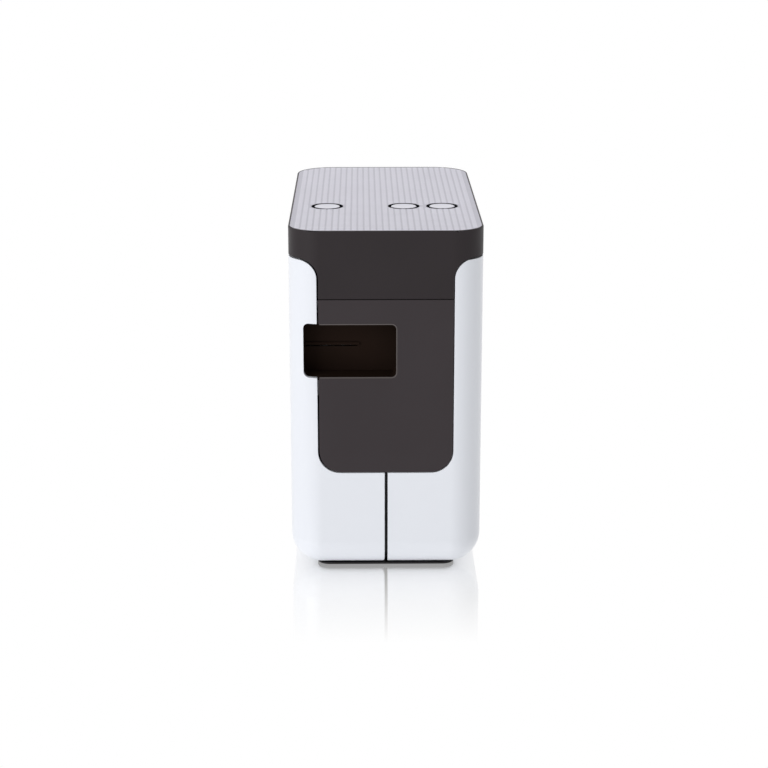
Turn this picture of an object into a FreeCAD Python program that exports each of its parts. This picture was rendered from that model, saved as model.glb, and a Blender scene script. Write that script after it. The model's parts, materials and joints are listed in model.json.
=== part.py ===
"""Desktop label maker: a slim upright housing with a side door over the tape cassette bay,
a print and cut unit behind the front exit, a gear train, boards and a battery bay.

Frame: X to the right, front faces -Y, Z up, millimetres. Origin at the centre of the footprint.
"""
import FreeCAD, Part
import Sketcher
import math
import os
import re

Vector = FreeCAD.Vector

DIMENSIONS = {
    # housing
    "body_width": 78.0, "body_depth": 152.0, "body_height": 143.0,
    "front_corner": 13.0, "back_corner": 16.0, "bottom_round": 12.5, "top_round": 0.6,
    "lip_left": 3.5, "lip_right": 6.0, "lip_thickness": 1.2,
    "wall": 2.2, "shell_floor": 1.3, "door_gap": 0.6, "shell_gap": 0.2, "liner_gap": 0.4, "nick": 2.5,
    "band_bottom": 131.5, "apron_half": 27.0, "apron_bottom": 115.5, "apron_flare": 8.0,
    "panel_bottom": 43.3, "panel_corner": 9.0, "rear_panel_bottom": 24.0, "seam_half": 0.15,
    "plate_rim": 0.7, "plate_thickness": 0.8, "roof": 3.0,
    # buttons in the top plate
    "button_y": -23.0, "power_x": -24.0, "editor_x": 8.0, "feed_x": 24.0,
    "button_radius": 5.35, "ring_radius": 6.45, "button_clearance": 0.15, "button_travel": 0.8,
    "board_top": 133.0, "board_thickness": 1.6, "switch_height": 3.5,
    # label exit
    "exit_left": -33.1, "exit_right": 4.3, "exit_bottom": 83.1, "exit_top": 105.3,
    "exit_corner": 2.2, "exit_back": -63.5, "chute_wall": 1.6,
    # door hinge
    "hinge_x": -35.0, "hinge_y": 56.0, "knuckle_radius": 4.0, "pin_radius": 1.0,
    "pin_clearance": 0.06, "door_edge_gap": 4.5, "lug_radius": 1.6, "lug_height": 3.0,
    # base and battery bay
    "base_half_width": 26.3, "base_half_depth": 63.3, "base_bottom": 0.5, "base_top": 3.5,
    "flange_half_width": 28.3, "flange_half_depth": 68.0, "flange_top": 1.2,
    "hatch_half_width": 23.8, "hatch_half_depth": 54.5, "hatch_gap": 0.3, "hatch_thickness": 1.8,
    "hatch_pivot_y": -53.4, "hatch_pivot_z": 1.3, "hatch_pivot_radius": 0.5,
    "foot_x": 20.0, "foot_y": 59.0, "foot_radius": 3.2,
    "cell_radius": 7.1, "cell_length": 50.0, "cell_pitch": 15.4, "cell_z": 11.4,
    "tray_half_width": 24.8, "tray_half_depth": 57.0, "tray_top": 21.4, "tray_wall": 1.4,
    # frame and cassette bay
    "frame_left": -5.0, "frame_right": -2.5, "frame_front": -54.0, "frame_back": 66.0,
    "frame_top": 128.0, "bay_left": -35.0, "bay_face": 1.3,
    # print path
    "tape_height": 93.6, "tape_thickness": 0.15, "tape_width": 18.0, "tape_left": -31.0,
    "roller_gap": 0.3, "platen_y": -38.0, "platen_radius": 5.0, "platen_shaft_radius": 1.5,
    "pinch_y": -50.0, "pinch_radius": 3.65, "feed_roller_radius": 3.6,
    "holder_pivot_y": 12.0, "holder_pivot_z": 104.0, "cheek_thickness": 1.2,
    "shaft_radius": 2.0, "stud_radius": 1.5, "axle_radius": 1.2,
    # gears: tooth counts, and bearings in degrees from one gear centre to the next
    "gear_module": 0.8, "motor_teeth": 10, "reduction_teeth": 36, "reduction_pinion_teeth": 12,
    "drive_teeth": 19, "feed_teeth": 13, "pinch_drive_teeth": 10, "pinch_teeth": 10,
    "idler_teeth": 10, "platen_teeth": 14,
    "ribbon_teeth": 30, "reduction_bearing": -120.0, "motor_bearing": -80.0,
    "ribbon_bearing": -35.0,
    # cutter
    "cutter_x": 2.0, "cutter_z": 91.0, "cutter_back": -57.4, "sector_teeth": 44,
    "cutter_pinion_teeth": 12, "cutter_bearing": -30.0, "blade_thickness": 1.0,
    # cassette
    "cassette_left": -34.2, "cassette_right": -9.7, "cassette_front": -55.0,
    "cassette_back": 27.0, "cassette_bottom": 24.0, "cassette_top": 95.5, "cassette_wall": 1.2,
    "tape_reel_y": 3.0, "tape_reel_z": 50.0, "tape_reel_radius": 21.5,
    "film_reel_y": -36.0, "film_reel_z": 38.5, "film_reel_radius": 11.5,
    "ribbon_reel_y": 12.0, "ribbon_reel_z": 84.0, "ribbon_reel_radius": 7.5,
    "takeup_radius": 7.0,
    # main board
    "board_left": 24.0, "board_right": 25.6, "board_front": 2.0, "board_back": 66.0,
    "board_low": 28.0, "board_high": 118.0, "usb_z": 34.0, "jack_z": 50.0, "jack_x": 17.6,
}

BOARD_POSTS = ((8, 32), (60, 66), (8, 112), (60, 112))

doc = FreeCAD.newDocument("label_maker")
sheet = doc.addObject("Spreadsheet::Sheet", "dims")
for row, (alias, number) in enumerate(DIMENSIONS.items(), 1):
    sheet.set(f"A{row}", alias)
    sheet.set(f"B{row}", str(number))
    sheet.setAlias(f"B{row}", alias)
doc.recompute()
size = {alias: float(getattr(sheet, alias)) for alias in DIMENSIONS}
subparts = {}

# centres of the print path and of the gear train, as formulas of the sheet's cells
PLATEN_Z = "(tape_height + tape_thickness + roller_gap + platen_radius)"
FEED_Z = "(tape_height - roller_gap - feed_roller_radius)"
PINCH_Z = f"({FEED_Z} + (pinch_drive_teeth + pinch_teeth)*gear_module/2)"
DRIVE_Z = (f"({FEED_Z} - sqrt(pow((drive_teeth + feed_teeth)*gear_module/2; 2)"
           " - pow(platen_y - pinch_y; 2)))")


def polar(y, z, teeth, bearing):
    """The formulas of a centre at a bearing from (y, z), for two gears with that many teeth in all."""
    reach = f"({teeth})*gear_module/2"
    return f"({y} + {reach}*cos({bearing}*1deg))", f"({z} + {reach}*sin({bearing}*1deg))"


def third_corner():
    """The formulas of the idler's centre, in mesh with the pinch gear and the platen gear."""
    base = f"sqrt(pow(platen_y - pinch_y; 2) + pow({PLATEN_Z} - {PINCH_Z}; 2))"
    near = "(pinch_teeth + idler_teeth)*gear_module/2"
    far = "(idler_teeth + platen_teeth)*gear_module/2"
    share = f"(pow({base}; 2) + pow({near}; 2) - pow({far}; 2))/(2*{base}*{near})"
    angle = f"(atan(({PLATEN_Z} - {PINCH_Z})/(platen_y - pinch_y)) + acos({share}))"
    return f"(pinch_y + {near}*cos({angle}))", f"({PINCH_Z} + {near}*sin({angle}))"


RIBBON_Y, RIBBON_Z = polar("platen_y", DRIVE_Z, "drive_teeth + ribbon_teeth", "ribbon_bearing")
REDUCTION_Y, REDUCTION_Z = polar(
    "platen_y", DRIVE_Z, "drive_teeth + reduction_pinion_teeth", "reduction_bearing")
MOTOR_Y, MOTOR_Z = polar(
    REDUCTION_Y, REDUCTION_Z, "motor_teeth + reduction_teeth", "motor_bearing")
IDLER_Y, IDLER_Z = third_corner()
CUTTER_PINION_X, CUTTER_PINION_Z = polar(
    "cutter_x", "cutter_z", "sector_teeth + cutter_pinion_teeth", "cutter_bearing")


# ---------------------------------------------------------------- building blocks

def formula(value):
    """A sheet expression: every alias in the text gets the sheet's name before it."""
    return re.sub(r"\b([a-z]+(?:_[a-z]+)*)\b",
                  lambda m: "dims." + m[1] if m[1] in DIMENSIONS else m[1], str(value))


def bind(thing, prop, value):
    thing.setExpression(prop, formula(value))


def place(thing, x=0, y=0, z=0):
    for axis, value in zip("xyz", (x, y, z)):
        bind(thing, f"Placement.Base.{axis}", value)
    return thing


def box(name, x, y, z):
    """A box from low to high along each axis."""
    solid = doc.addObject("Part::Box", name)
    for side, (low, high) in zip(("Length", "Width", "Height"), (x, y, z)):
        bind(solid, side, f"({high}) - ({low})")
    return place(solid, x[0], y[0], z[0])


AXES = {"x": Vector(1, 0, 0), "y": Vector(0, 1, 0), "z": Vector(0, 0, 1)}


def rod(name, axis, start, radius, length):
    """A cylinder from the point start along an axis."""
    solid = doc.addObject("Part::Cylinder", name)
    bind(solid, "Radius", radius)
    bind(solid, "Height", length)
    solid.Placement.Rotation = FreeCAD.Rotation(Vector(0, 0, 1), AXES[axis])
    return place(solid, *start)


def join(name, *parts):
    result = doc.addObject("Part::MultiFuse", name)
    result.Shapes = list(parts)
    return result


def bundle(name, *parts):
    """Separate solids kept as one node."""
    result = doc.addObject("Part::Compound", name)
    result.Links = list(parts)
    return result


def cut(name, base, *tools):
    result = doc.addObject("Part::Cut", name)
    result.Base = base
    result.Tool = tools[0] if len(tools) == 1 else join(name + "_tools", *tools)
    return result


def common(name, first, second):
    result = doc.addObject("Part::Common", name)
    result.Base = first
    result.Tool = second
    return result


def rounded(name, base, radius, chosen):
    """A fillet on the edges of base that the test chosen accepts."""
    doc.recompute()
    result = doc.addObject("Part::Fillet", name)
    result.Base = base
    result.Edges = [(number, radius, radius)
                    for number, edge in enumerate(base.Shape.Edges, 1) if chosen(edge)]
    return result


def along(axis):
    """A test for straight edges that run along an axis."""
    def chosen(edge):
        lengths = dict(zip("xyz", (edge.BoundBox.XLength, edge.BoundBox.YLength, edge.BoundBox.ZLength)))
        return lengths.pop(axis) > 0.01 and max(lengths.values()) < 1e-6
    return chosen


def feature(name, shape):
    result = doc.addObject("Part::Feature", name)
    result.Shape = shape
    return result


def subpart(node, thing):
    thing.Label = node
    subparts[node] = thing
    return thing


PLANES = {"xy": "XY_Plane", "xz": "XZ_Plane", "yz": "YZ_Plane"}


def outline(body, name, plane, points):
    """A closed sketch through points, each held by its two distances from the origin."""
    sketch = body.newObject("Sketcher::SketchObject", name)
    origin = [f for f in body.Origin.OriginFeatures if f.Role == PLANES[plane]][0]
    sketch.AttachmentSupport = [(origin, "")]
    sketch.MapMode = "FlatFace"
    last = len(points) - 1
    scratch = [Vector(math.cos(2*math.pi*i/len(points)), math.sin(2*math.pi*i/len(points)), 0)
               for i in range(len(points))]
    for i in range(len(points)):
        sketch.addGeometry(Part.LineSegment(scratch[i], scratch[(i + 1) % len(points)]), False)
    for i in range(len(points)):
        sketch.addConstraint(Sketcher.Constraint("Coincident", i, 2, 0 if i == last else i + 1, 1))
    for i, point in enumerate(points):
        for kind, axis_line, value in (("DistanceX", -2, point[0]), ("DistanceY", -1, point[1])):
            if value == 0:
                sketch.addConstraint(Sketcher.Constraint("PointOnObject", i, 1, axis_line))
                continue
            number = sketch.addConstraint(Sketcher.Constraint(kind, -1, 1, i, 1, 1.0))
            sketch.renameConstraint(number, f"{kind[-1]}{i}_")
            sketch.setExpression(f"Constraints.{kind[-1]}{i}_", formula(value))
    return sketch


def padded(name, plane, points, length, x=0, y=0, z=0):
    """A PartDesign body: an outline padded along its plane's normal, then moved."""
    body = doc.addObject("PartDesign::Body", name)
    sketch = outline(body, name + "_outline", plane, points)
    pad = body.newObject("PartDesign::Pad", name + "_pad")
    pad.Profile = sketch
    bind(pad, "Length", length)
    pad.Reversed = plane == "xz"
    return place(body, x, y, z)


def turned(name, axis, start, profile):
    """A PartDesign body turned about an axis. The profile holds (distance along, radius) points."""
    body = doc.addObject("PartDesign::Body", name)
    sketch = outline(body, name + "_profile", "xy", profile)
    turn = body.newObject("PartDesign::Revolution", name + "_turn")
    turn.Profile = sketch
    turn.ReferenceAxis = (sketch, ["H_Axis"])
    turn.Angle = 360
    body.Placement.Rotation = FreeCAD.Rotation(Vector(1, 0, 0), AXES[axis])
    return place(body, *start)


# ---------------------------------------------------------------- gears

TIP, ROOT, THICKNESS, PRESSURE = 0.9, 1.2, 0.44, math.radians(20)


def gear_wire(teeth, phase, module, at):
    """The closed outline of a gear with straight flanks. A tooth's middle lies at the angle phase."""
    pitch_radius = teeth*module/2
    points = []
    for number in range(teeth):
        middle = phase + 2*math.pi*number/teeth
        for height, side in ((-ROOT, -1), (TIP, -1), (TIP, 1), (-ROOT, 1)):
            radius = pitch_radius + height*module
            half = math.pi*THICKNESS/teeth - height*module*math.tan(PRESSURE)/pitch_radius
            angle = middle + side*half
            points.append(at(radius*math.cos(angle), radius*math.sin(angle)))
    return Part.makePolygon(points + points[:1])


def across_x(u, v):
    return Vector(0, u, v)


def across_y(u, v):
    return Vector(u, 0, v)


def gear_solid(teeth, phase, width, start=0.0, at=across_x):
    """A toothed disc on the axis through the origin, from start to start + width."""
    axis = Vector(1, 0, 0) if at is across_x else Vector(0, 1, 0)
    disc = Part.Face(gear_wire(int(teeth), phase, size["gear_module"], at)).extrude(axis*width)
    disc.translate(axis*start)
    return disc


def shaft_solid(radius, start, end, axis=Vector(1, 0, 0)):
    return Part.makeCylinder(radius, end - start, axis*start, axis)


def meshing(teeth, phase, bearing, mate_teeth):
    """The phase that puts a mate's tooth gap on each tooth of a gear, at that bearing in degrees."""
    bearing = math.radians(bearing)
    share = (bearing - phase)*teeth/(2*math.pi)
    return bearing + math.pi - (0.5 - share)*2*math.pi/mate_teeth


def gear_phases():
    """Each gear's phase, so that all of them are in mesh."""
    module = size["gear_module"]
    across = size["platen_y"] - size["pinch_y"]
    drop = math.sqrt(((size["drive_teeth"] + size["feed_teeth"])*module/2)**2 - across**2)
    feed_bearing = math.degrees(math.atan2(drop, -across))
    pinch_rise = (size["pinch_drive_teeth"] + size["pinch_teeth"])*module/2
    feed_height = size["tape_height"] - size["roller_gap"] - size["feed_roller_radius"]
    platen_height = (size["tape_height"] + size["tape_thickness"] + size["roller_gap"]
                     + size["platen_radius"])
    rise = platen_height - feed_height - pinch_rise
    base = math.hypot(across, rise)
    near = (size["pinch_teeth"] + size["idler_teeth"])*module/2
    far = (size["idler_teeth"] + size["platen_teeth"])*module/2
    idler_angle = math.atan2(rise, across) + math.acos((base**2 + near**2 - far**2)/(2*base*near))
    idler_bearing = math.degrees(idler_angle)
    platen_bearing = math.degrees(math.atan2(rise - near*math.sin(idler_angle),
                                             across - near*math.cos(idler_angle)))
    pinch = meshing(size["pinch_drive_teeth"], 0.0, 90, size["pinch_teeth"])
    idler = meshing(size["pinch_teeth"], pinch, idler_bearing, size["idler_teeth"])
    drive = 0.0
    reduction_pinion = meshing(size["drive_teeth"], drive, size["reduction_bearing"],
                               size["reduction_pinion_teeth"])
    return {
        "drive": drive,
        "pinch_drive": 0.0,
        "pinch": pinch,
        "idler": idler,
        "platen": meshing(size["idler_teeth"], idler, platen_bearing, size["platen_teeth"]),
        "feed": meshing(size["drive_teeth"], drive, feed_bearing, size["feed_teeth"]),
        "ribbon": meshing(size["drive_teeth"], drive, size["ribbon_bearing"], size["ribbon_teeth"]),
        "reduction_pinion": reduction_pinion,
        "reduction": reduction_pinion,
        "motor": meshing(size["reduction_teeth"], reduction_pinion, size["motor_bearing"],
                         size["motor_teeth"]),
    }


# ---------------------------------------------------------------- housing

def housing_solid(name, inset, floor, top):
    """The rounded block of the housing, taken in by inset on every side."""
    half_width, half_depth = f"body_width/2 - {inset}", f"body_depth/2 - {inset}"
    corners = [(f"-({half_width})", f"-({half_depth})"), (half_width, f"-({half_depth})"),
               (half_width, half_depth), (f"-({half_width})", half_depth)]
    body = padded(name, "xy", corners, f"({top}) - ({floor})", z=floor)
    doc.recompute()
    taken = float(inset) if not isinstance(inset, str) else size[inset]
    for which, radius in (("front", size["front_corner"] - taken), ("back", size["back_corner"] - taken)):
        tip = body.Tip
        fillet = body.newObject("PartDesign::Fillet", f"{name}_{which}_corners")
        edges = [number for number, edge in enumerate(tip.Shape.Edges, 1)
                 if along("z")(edge) and (edge.BoundBox.YMin < 0) == (which == "front")]
        fillet.Base = (tip, [f"Edge{number}" for number in edges])
        fillet.Radius = radius
        doc.recompute()
    tip = body.Tip
    fillet = body.newObject("PartDesign::Fillet", name + "_bottom_round")
    low = tip.Shape.BoundBox.ZMin
    fillet.Base = (tip, [f"Edge{number}" for number, edge in enumerate(tip.Shape.Edges, 1)
                         if edge.BoundBox.ZMax < low + 1e-3])
    fillet.Radius = size["bottom_round"] - taken
    doc.recompute()
    return body


def top_softened(body):
    """Rounds the top rim of a housing block a little."""
    tip = body.Tip
    high = tip.Shape.BoundBox.ZMax
    fillet = body.newObject("PartDesign::Fillet", "top_rim_round")
    fillet.Base = (tip, [f"Edge{number}" for number, edge in enumerate(tip.Shape.Edges, 1)
                         if edge.BoundBox.ZMin > high - 1e-3])
    fillet.Radius = size["top_round"]
    doc.recompute()
    return body


def dark_upper_region(name, gap_left, gap_right):
    """The space of the dark top band, its front and rear aprons and the flares beside them."""
    parts = [
        box(name + "_band", (-45, 45), (-80, 80), (f"band_bottom - {gap_left}", 150)),
        box(name + "_apron", (f"-apron_half - {gap_left}", f"apron_half + {gap_right}"), (-80, 80),
            ("apron_bottom - apron_flare", "band_bottom + 1")),
    ]
    for side, gap in ((-1, gap_left), (1, gap_right)):
        inner = f"{side}*(apron_half + {gap} - 1)"
        outer = f"{side}*(apron_half + apron_flare)"
        low, high = (outer, inner) if side < 0 else (inner, outer)
        block = box(f"{name}_flare_block_{side + 1}", (low, high), (-80, 80),
                    ("band_bottom - apron_flare", "band_bottom + 1"))
        hollow = rod(f"{name}_flare_hollow_{side + 1}", "y",
                     (outer, -81, "band_bottom - apron_flare"), f"apron_flare - {gap}", 162)
        parts.append(cut(f"{name}_flare_{side + 1}", block, hollow))
    return join(name, *parts)


def panel_region(name, grow_left, grow_right, bottom, corner, y):
    """The space of a dark panel below the band, with round lower corners."""
    block = box(name + "_block", (f"-apron_half - {grow_left}", f"apron_half + {grow_right}"), y,
                (f"{bottom} - {grow_right}", "apron_bottom"))

    def chosen(edge):
        return along("y")(edge) and edge.BoundBox.ZMax < size["band_bottom"] - 60
    return rounded(name, block, corner, chosen)


def exit_region(name, grow, y):
    """The rounded opening that the label comes out of."""
    block = box(name + "_block", (f"exit_left - {grow}", f"exit_right + {grow}"), y,
                (f"exit_bottom - {grow}", f"exit_top + {grow}"))
    return rounded(name, block, size["exit_corner"] + grow, along("y"))


def button_places():
    return (("power", "power_x"), ("editor", "editor_x"), ("feed", "feed_x"))


def make_housing():
    outer = top_softened(housing_solid("outer_block", 0, "shell_floor", "body_height"))
    inner = housing_solid("inner_block", "wall", "shell_floor + wall", "body_height - roof")
    hollow = cut("hollow_housing", outer, inner)
    upper_limit = box("upper_limit", (-45, 45), (-80, 80), ("apron_bottom", 150))
    upper = common("upper_region", dark_upper_region("upper_raw", 0, 0), upper_limit)

    # top band, with a recess for the plate and a collar round each button
    band = common("band_raw", hollow, upper)
    collars = [rod(f"{key}_collar", "z", (x, "button_y", "body_height - plate_thickness - 0.2"),
                   "ring_radius - 0.05", "plate_thickness - 0.05") for key, x in button_places()]
    recess = cut("plate_recess", plate_block("recess_block", 0.05), *collars)
    bores = [rod(f"{key}_bore", "z", (x, "button_y", "body_height - roof - 8"),
                 "button_radius + button_clearance", "roof + 10") for key, x in button_places()]
    subpart("top_band", cut("top_band", band, recess, *bores))

    holes = [rod(f"{key}_plate_hole", "z", (x, "button_y", "body_height - 4"), "ring_radius", 6)
             for key, x in button_places()]
    subpart("top_plate", cut("top_plate", plate_block("plate_block", 0), *holes))

    # front and rear panels between the white shells
    exit_hole = exit_region("exit_hole", 0, (-80, -55))
    seam = box("apron_seam", (-45, 45), (-80, 80), ("apron_bottom - 2*seam_half", "apron_bottom + 1"))
    front_space = panel_region("front_space", 0, 0, "panel_bottom", size["panel_corner"], (-80, -40))
    rear_space = panel_region("rear_space", 0, 0, "rear_panel_bottom", size["panel_corner"], (40, 80))
    subpart("front_panel", cut("front_panel", common("front_raw", hollow, front_space), exit_hole, seam))
    ports = [
        box("usb_hole", ("board_left - 4.6", "board_left + 0.2"), (60, 80), ("usb_z - 4.2", "usb_z + 4.2")),
        rod("jack_hole", "y", ("jack_x", 60, "jack_z"), 4.3, 20),
    ]
    subpart("rear_panel", cut("rear_panel", common("rear_raw", hollow, rear_space), seam, *ports))

    # white shells: what is left, parted at the door's edges
    floor_hole = box("floor_hole", ("-(body_width/2 - bottom_round)", "body_width/2 - bottom_round"),
                     ("-(body_depth/2 - bottom_round)", "body_depth/2 - bottom_round"), (-1, 6))
    white = cut("white_housing", hollow, dark_upper_region("upper_gap", "door_gap", "shell_gap"),
                panel_region("front_gap", size["door_gap"], size["shell_gap"], "panel_bottom",
                             size["panel_corner"], (-80, -40)),
                panel_region("rear_gap", size["shell_gap"], size["shell_gap"], "rear_panel_bottom",
                             size["panel_corner"], (40, 80)),
                floor_hole)
    door_space = box("door_space", (-45, "-door_gap"), (-80, "hinge_y"), (-1, 150))
    shell_space = box("shell_space", (-45, "door_gap"), (-80, "hinge_y + door_edge_gap"), (-1, 150))
    lugs_inside = common("hinge_lugs_inside", make_hinge_lugs(), inner)
    pin_bore = rod("lug_bore", "z", ("hinge_x", "hinge_y", 2), "pin_radius", 140)
    shell = join("main_shell", cut("main_shell_raw", white, shell_space),
                 cut("lugs_bored", lugs_inside, pin_bore))
    subpart("main_shell", shell)

    knuckle = common("knuckle_trimmed", outer,
                     rod("knuckle_rod", "z", ("hinge_x", "hinge_y", "8.3"), "knuckle_radius", "117.4"))
    knuckle_bore = rod("knuckle_bore", "z", ("hinge_x", "hinge_y", 2), "pin_radius + pin_clearance", 140)
    nick = cut("door_nick",
               box("door_nick_block", ("-door_gap - nick", 1), (-80, -50), (0, "shell_floor + nick")),
               rod("door_nick_round", "y", ("-door_gap - nick", -81, "shell_floor + nick"), "nick", 32))
    leaf = cut("door_leaf", common("door_raw", white, door_space), exit_hole, nick)
    subpart("door_shell", cut("door_shell", join("door_joined", leaf, knuckle), knuckle_bore))
    subpart("hinge_pin", rod("hinge_pin", "z", ("hinge_x", "hinge_y", "5"), "pin_radius", "124"))
    return inner


def make_hinge_lugs():
    """The two eyes at the rear that hold the door's hinge pin."""
    lugs = []
    for name, low in (("low", 5), ("high", 126)):
        arm = box(f"hinge_arm_{name}", ("hinge_x + 0.4", "hinge_x + 6"),
                  ("hinge_y - 1.5", "body_depth/2 - wall"), (low, f"{low} + lug_height"))
        eye = rod(f"hinge_eye_{name}", "z", ("hinge_x", "hinge_y", low), "lug_radius", "lug_height")
        lugs.append(join(f"hinge_lug_{name}", arm, eye))
    return join("hinge_lugs", *lugs)


def make_seam_lip():
    """A dark strip on the base that stands behind the seam where the door meets the main shell."""
    near = size["wall"] + size["liner_gap"]
    deep = near + size["lip_thickness"]
    outer = housing_solid("lip_outer", near, f"shell_floor + {near}", "body_height - 20")
    inner = housing_solid("lip_inner", deep, f"shell_floor + {deep}", "body_height - 10")
    across = ("-lip_left", "lip_right")
    front = box("lip_space", across, (-80, "-base_half_depth - 0.4"), (0, "panel_bottom + 2"))
    floor = (f"shell_floor + {near}", f"shell_floor + {deep}")
    shelf = box("lip_shelf", across, ("-base_half_depth - 0.8", "-base_half_depth + 3"), floor)
    foot = box("lip_foot", across, ("-base_half_depth + 0.1", "-base_half_depth + 3"),
               ("base_top - 0.2", floor[1]))
    return common("lip_strip", cut("lip_ring", outer, inner), front), shelf, foot


def plate_block(name, grow):
    """The thin plate let into the top, inside the band's rim."""
    half_width, half_depth = f"body_width/2 - plate_rim + {grow}", f"body_depth/2 - plate_rim + {grow}"
    block = box(name + "_flat", (f"-({half_width})", half_width), (f"-({half_depth})", half_depth),
                ("body_height - plate_thickness", f"body_height + {grow}*10"))

    def front(edge):
        return along("z")(edge) and edge.BoundBox.YMin < 0

    def back(edge):
        return along("z")(edge) and edge.BoundBox.YMin > 0
    first = rounded(name + "_front", block, size["front_corner"] - size["plate_rim"] + grow, front)
    return rounded(name, first, size["back_corner"] - size["plate_rim"] + grow, back)


def make_exit_chute():
    liner = housing_solid("liner_block", size["wall"] + size["liner_gap"], "6", "body_height - 8")
    outside = box("chute_block", ("exit_left - chute_wall", "exit_right + chute_wall"),
                  (-76, "exit_back + chute_wall"), ("exit_bottom - chute_wall", "exit_top + chute_wall"))
    slit = box("chute_slit", ("tape_left - 1.5", "tape_left + tape_width + 1.5"), (-70, -50),
               ("tape_height - 0.5", "tape_height + 0.7"))
    cavity = exit_region("chute_cavity", 0, (-80, "exit_back"))
    subpart("exit_chute", cut("exit_chute", common("chute_raw", outside, liner), cavity, slit))


def make_base():
    corner = 2.0
    flange_corner = 5.0
    block = rounded("base_rounded", box(
        "base_block", ("-base_half_width", "base_half_width"), ("-base_half_depth", "base_half_depth"),
        ("base_bottom", "base_top")), corner, along("z"))
    flange = rounded("flange_rounded", box(
        "flange_block", ("-flange_half_width", "flange_half_width"),
        ("-flange_half_depth", "flange_half_depth"), ("base_bottom", "flange_top")),
        flange_corner, along("z"))
    hatch_hole = box("hatch_hole", ("-hatch_half_width", "hatch_half_width"),
                     ("-hatch_half_depth", "hatch_half_depth"), (-1, "base_top + 1"))
    screw_places = [(sx, sy) for sx in (-1, 1) for sy in (-1, 1)]
    wells = [rod(f"base_well_{i}", "z", (f"{sx}*12", f"{sy}*59", -1), 1.5, 6)
             for i, (sx, sy) in enumerate(screw_places)]
    dimples = [
        rod(f"foot_dimple_{i}", "z", (f"{sx}*foot_x", f"{sy}*foot_y", -1), "foot_radius", "base_bottom + 1.6")
        for i, (sx, sy) in enumerate(screw_places)]
    pivot_bore = rod("hatch_pivot_bore", "x", ("-hatch_half_width - 0.9", "hatch_pivot_y", "hatch_pivot_z"),
                     "hatch_pivot_radius + pin_clearance", "2*hatch_half_width + 1.8")
    subpart("base_plate", cut("base_plate", join("base_joined", block, flange, *make_seam_lip()), hatch_hole,
                              pivot_bore, *wells, *dimples))
    feet = [turned(f"foot_{i}", "z", (f"{sx}*foot_x", f"{sy}*foot_y", 0),
                   [(0, 0), (0, "foot_radius - 0.4"), (0.3, "foot_radius"),
                    ("base_bottom + 0.6", "foot_radius"), ("base_bottom + 0.6", 0)])
            for i, (sx, sy) in enumerate(screw_places)]
    subpart("rubber_feet", bundle("rubber_feet", *feet))

    lid_corner = 0.8
    lid = rounded("hatch_rounded", box(
        "hatch_block", ("-hatch_half_width + hatch_gap", "hatch_half_width - hatch_gap"),
        ("-hatch_half_depth + 2*hatch_gap", "hatch_half_depth - hatch_gap"),
        ("base_bottom", "base_bottom + hatch_thickness")), lid_corner, along("z"))
    ribs = [box(f"hatch_rib_{i}", (f"{x} - 0.6", f"{x} + 0.6"), (-46, 46),
                ("base_bottom + hatch_thickness - 0.2", "base_bottom + hatch_thickness + 0.8"))
            for i, x in enumerate(("-cell_pitch/2", "cell_pitch/2"))]
    grips = [box(f"hatch_grip_{i}", (-7, 7), (f"44 + {i}*2.2", f"45.1 + {i}*2.2"), (0, "base_bottom + 0.5"))
             for i in range(4)]
    pivot = rod("hatch_pivot", "x", ("-hatch_half_width - 0.6", "hatch_pivot_y", "hatch_pivot_z"),
                "hatch_pivot_radius", "2*hatch_half_width + 1.2")
    subpart("battery_cover", cut("battery_cover", join("hatch_ribbed", lid, pivot, *ribs), *grips))


def make_battery_bay():
    block = box("tray_block", ("-tray_half_width", "tray_half_width"),
                ("-tray_half_depth", "tray_half_depth"), ("base_top", "tray_top"))
    channels, cells, contacts = [], [], []
    for row in range(3):
        middle = f"({row - 1})*cell_pitch"
        channels.append(box(
            f"channel_{row}", (f"{middle} - cell_radius - 0.25", f"{middle} + cell_radius + 0.25"),
            ("-tray_half_depth + tray_wall", "tray_half_depth - tray_wall"),
            ("base_top - 1", "tray_top - tray_wall")))
        for end in (-1, 1):
            name = f"{row}_{end + 1}"
            start = f"{end}*(tray_half_depth - tray_wall - 2.2) - {(end + 1)//2}*cell_length"
            cells.append(turned(f"cell_{name}", "y", (middle, start, "cell_z"), [
                (0, 0), (0, "cell_radius - 0.5"), (0.5, "cell_radius"), ("cell_length - 1.7", "cell_radius"),
                ("cell_length - 1.2", "cell_radius - 0.5"), ("cell_length - 1.2", 2.7), ("cell_length", 2.7),
                ("cell_length", 0)]))
            wall = f"{end}*(tray_half_depth - tray_wall)"
            near, far = (wall, f"{wall} + 0.4") if end < 0 else (f"{wall} - 0.4", wall)
            plate = box(f"contact_plate_{name}", (f"{middle} - 5.5", f"{middle} + 5.5"), (near, far),
                        ("cell_z - 5", "cell_z + 6"))
            bump_start = f"{wall} + 0.4" if end < 0 else f"{wall} - 2.0"
            bump = rod(f"contact_bump_{name}", "y", (middle, bump_start, "cell_z"), 2.2, 1.6)
            contacts.append(join(f"contact_{name}", plate, bump))
    subpart("battery_tray", cut("battery_tray", block, *channels))
    subpart("batteries", bundle("batteries", *cells))
    subpart("battery_contacts", bundle("battery_contacts", *contacts))


# ---------------------------------------------------------------- frame and cassette bay

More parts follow.
